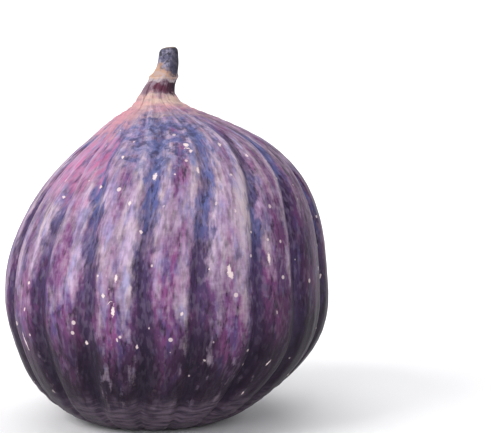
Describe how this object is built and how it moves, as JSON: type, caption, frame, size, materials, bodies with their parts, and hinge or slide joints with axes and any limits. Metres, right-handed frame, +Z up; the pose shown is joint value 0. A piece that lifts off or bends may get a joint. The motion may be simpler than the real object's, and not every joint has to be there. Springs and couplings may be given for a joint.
{
  "type": "fresh fig",
  "caption": "Ripe dark fig: a round ribbed fruit that stands on a flat ring round its scaly eye, with a short flared neck and a cut stem.",
  "frame": {"origin": "under the middle of the fruit's box, on the surface that it stands on", "axes": "+Z up from the eye to the stem, -Y towards the side seen first, +X to its right"},
  "size_m": [0.053, 0.053, 0.0615],
  "materials": {
    "fig_skin": "dark purple ribbed skin under a matt, pale lilac bloom"
  },
  "bodies": {
    "root": {"fig": "fig_skin"}
  },
  "joints": []
}
